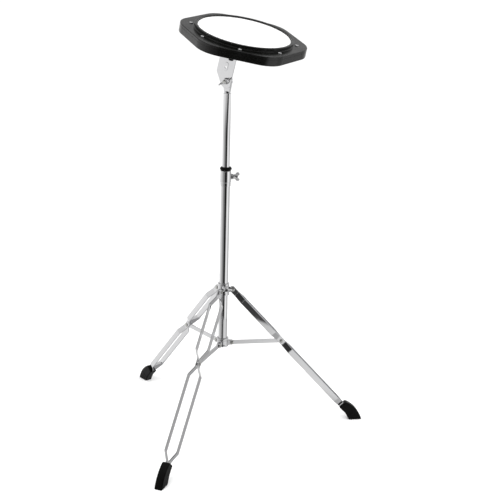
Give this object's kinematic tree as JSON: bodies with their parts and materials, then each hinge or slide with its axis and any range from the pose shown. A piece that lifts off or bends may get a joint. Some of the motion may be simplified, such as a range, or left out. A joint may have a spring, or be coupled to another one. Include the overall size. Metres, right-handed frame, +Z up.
{
  "type": "practice drum pad on tripod stand",
  "caption": "Round white practice drum pad in a black hexagonal tunable frame, on a tilting bracket and an adjustable mast with a folding, double-braced chrome tripod.",
  "frame": {"origin": "centre of the bounding box at floor level, in the plane of the three rubber soles", "axes": "+Z up along the mast; +X is the way the first leg points from the mast"},
  "size_m": [0.4872, 0.5624, 0.89],
  "materials": {
    "chrome": "polished chrome plate",
    "black_plastic": "satin moulded black plastic",
    "head_film": "coated white film",
    "foam": "closed-cell foam",
    "aluminium": "plain",
    "rubber": "matt moulded rubber",
    "nylon": "moulded nylon",
    "steel": "zinc plated"
  },
  "bodies": {
    "mast": {"lower_tube": "chrome", "tube_end_plug": "nylon", "height_collar": "chrome", "height_bush": "nylon", "stay_collar": "chrome", "stay_1_collar_rivet": "steel", "stay_2_collar_rivet": "steel", "stay_3_collar_rivet": "steel"},
    "upper_mast": {"upper_tube": "chrome"},
    "tilter": {"tilter_stem": "chrome", "tilter_bolt": "steel"},
    "tilter_nut": {"tilter_wing_nut": "chrome"},
    "bracket": {"tilt_bracket": "chrome", "mount_bolt": "steel", "mount_washer": "rubber"},
    "pad": {"pad_base": "black_plastic", "clamp_rim": "black_plastic", "drum_head": "head_film", "flesh_hoop": "aluminium", "foam_disc": "foam", "mount_insert": "steel", "pad_foot_1": "rubber", "pad_foot_2": "rubber", "pad_foot_3": "rubber"},
    "height_bolt": {"height_wing_bolt": "chrome"},
    "hub": {"leg_hub": "chrome"},
    "hub_bolt": {"hub_wing_bolt": "chrome"},
    "leg_1": {"leg_1_strap_left": "chrome", "leg_1_strap_right": "chrome", "leg_1_foot": "rubber", "leg_1_hub_rivet": "steel", "leg_1_stay_rivet_left": "steel", "leg_1_stay_rivet_right": "steel"},
    "stay_1": {"stay_1": "chrome"},
    "leg_2": {"leg_2_strap_left": "chrome", "leg_2_strap_right": "chrome", "leg_2_foot": "rubber", "leg_2_hub_rivet": "steel", "leg_2_stay_rivet_left": "steel", "leg_2_stay_rivet_right": "steel"},
    "stay_2": {"stay_2": "chrome"},
    "leg_3": {"leg_3_strap_left": "chrome", "leg_3_strap_right": "chrome", "leg_3_foot": "rubber", "leg_3_hub_rivet": "steel", "leg_3_stay_rivet_left": "steel", "leg_3_stay_rivet_right": "steel"},
    "stay_3": {"stay_3": "chrome"},
    "screw_1": {"tension_screw_1": "chrome"},
    "screw_2": {"tension_screw_2": "chrome"},
    "screw_3": {"tension_screw_3": "chrome"},
    "screw_4": {"tension_screw_4": "chrome"},
    "screw_5": {"tension_screw_5": "chrome"},
    "screw_6": {"tension_screw_6": "chrome"},
    "screw_7": {"tension_screw_7": "chrome"},
    "screw_8": {"tension_screw_8": "chrome"}
  },
  "joints": [
    {"name": "height_slide", "type": "slide", "parent": "mast", "child": "upper_mast", "axis": [0, 0, 1], "range_m": [-0.15, 0.15]},
    {"name": "height_bolt_turn", "type": "hinge", "parent": "mast", "child": "height_bolt", "pos_m": [-0.07649, 0, 0.567], "axis": [0.9912, -0.1323, 0], "range_deg": [0, 360]},
    {"name": "tilter_swivel", "type": "hinge", "parent": "upper_mast", "child": "tilter", "pos_m": [-0.07649, 0, 0.741], "axis": [0, 0, 1], "continuous": true},
    {"name": "pad_tilt", "type": "hinge", "parent": "tilter", "child": "bracket", "pos_m": [-0.07649, 0, 0.766], "axis": [0.5534, 0.8329, 0], "range_deg": [-103.3, 86.7]},
    {"name": "tilter_nut_turn", "type": "hinge", "parent": "tilter", "child": "tilter_nut", "pos_m": [-0.07649, 0, 0.766], "axis": [-0.5534, -0.8329, 0], "range_deg": [0, 360]},
    {"name": "pad_turn", "type": "hinge", "parent": "bracket", "child": "pad", "pos_m": [-0.0466, 0.01434, 0.83774], "axis": [0.1456, -0.1951, 0.9699], "continuous": true},
    {"name": "leg_fold", "type": "slide", "parent": "mast", "child": "hub", "axis": [0, 0, 1], "range_m": [0, 0.1489]},
    {"name": "hub_bolt_turn", "type": "hinge", "parent": "hub", "child": "hub_bolt", "pos_m": [-0.07649, 0, 0.3255], "axis": [0.0872, -0.9962, 0], "range_deg": [0, 360]},
    {"name": "leg_1_hinge", "type": "hinge", "parent": "hub", "child": "leg_1", "pos_m": [-0.05699, 0, 0.318], "axis": [0, 1, 0], "range_deg": [0, 35.19]},
    {"name": "stay_1_hinge", "type": "hinge", "parent": "mast", "child": "stay_1", "pos_m": [-0.05649, 0, 0.19573], "axis": [0, -1, 0], "range_deg": [0, 80.02]},
    {"name": "leg_2_hinge", "type": "hinge", "parent": "hub", "child": "leg_2", "pos_m": [-0.08624, 0.01689, 0.318], "axis": [-0.866, -0.5, 0], "range_deg": [0, 35.19]},
    {"name": "stay_2_hinge", "type": "hinge", "parent": "mast", "child": "stay_2", "pos_m": [-0.08649, 0.01732, 0.19573], "axis": [0.866, 0.5, 0], "range_deg": [0, 80.02]},
    {"name": "leg_3_hinge", "type": "hinge", "parent": "hub", "child": "leg_3", "pos_m": [-0.08624, -0.01689, 0.318], "axis": [0.866, -0.5, 0], "range_deg": [0, 35.19]},
    {"name": "stay_3_hinge", "type": "hinge", "parent": "mast", "child": "stay_3", "pos_m": [-0.08649, -0.01732, 0.19573], "axis": [-0.866, 0.5, 0], "range_deg": [0, 80.02]},
    {"name": "tension_screw_1_turn", "type": "hinge", "parent": "pad", "child": "screw_1", "pos_m": [-0.06641, -0.09443, 0.84038], "axis": [0.1456, -0.1951, 0.9699], "range_deg": [0, 360]},
    {"name": "tension_screw_2_turn", "type": "hinge", "parent": "pad", "child": "screw_2", "pos_m": [0.01452, -0.07763, 0.83161], "axis": [0.1456, -0.1951, 0.9699], "range_deg": [0, 360]},
    {"name": "tension_screw_3_turn", "type": "hinge", "parent": "pad", "child": "screw_3", "pos_m": [0.06143, -0.00934, 0.83831], "axis": [0.1456, -0.1951, 0.9699], "range_deg": [0, 360]},
    {"name": "tension_screw_4_turn", "type": "hinge", "parent": "pad", "child": "screw_4", "pos_m": [0.04684, 0.07043, 0.85655], "axis": [0.1456, -0.1951, 0.9699], "range_deg": [0, 360]},
    {"name": "tension_screw_5_turn", "type": "hinge", "parent": "pad", "child": "screw_5", "pos_m": [-0.0207, 0.11496, 0.87564], "axis": [0.1456, -0.1951, 0.9699], "range_deg": [0, 360]},
    {"name": "tension_screw_6_turn", "type": "hinge", "parent": "pad", "child": "screw_6", "pos_m": [-0.10162, 0.09815, 0.88441], "axis": [0.1456, -0.1951, 0.9699], "range_deg": [0, 360]},
    {"name": "tension_screw_7_turn", "type": "hinge", "parent": "pad", "child": "screw_7", "pos_m": [-0.14854, 0.02986, 0.87772], "axis": [0.1456, -0.1951, 0.9699], "range_deg": [0, 360]},
    {"name": "tension_screw_8_turn", "type": "hinge", "parent": "pad", "child": "screw_8", "pos_m": [-0.13395, -0.0499, 0.85948], "axis": [0.1456, -0.1951, 0.9699], "range_deg": [0, 360]}
  ],
  "couplings": [
    {"joint": "leg_1_hinge", "follows": "leg_fold", "rad_per_m": 4.1226},
    {"joint": "stay_1_hinge", "follows": "leg_fold", "rad_per_m": 9.3772},
    {"joint": "leg_2_hinge", "follows": "leg_fold", "rad_per_m": 4.1226},
    {"joint": "stay_2_hinge", "follows": "leg_fold", "rad_per_m": 9.3772},
    {"joint": "leg_3_hinge", "follows": "leg_fold", "rad_per_m": 4.1226},
    {"joint": "stay_3_hinge", "follows": "leg_fold", "rad_per_m": 9.3772}
  ]
}
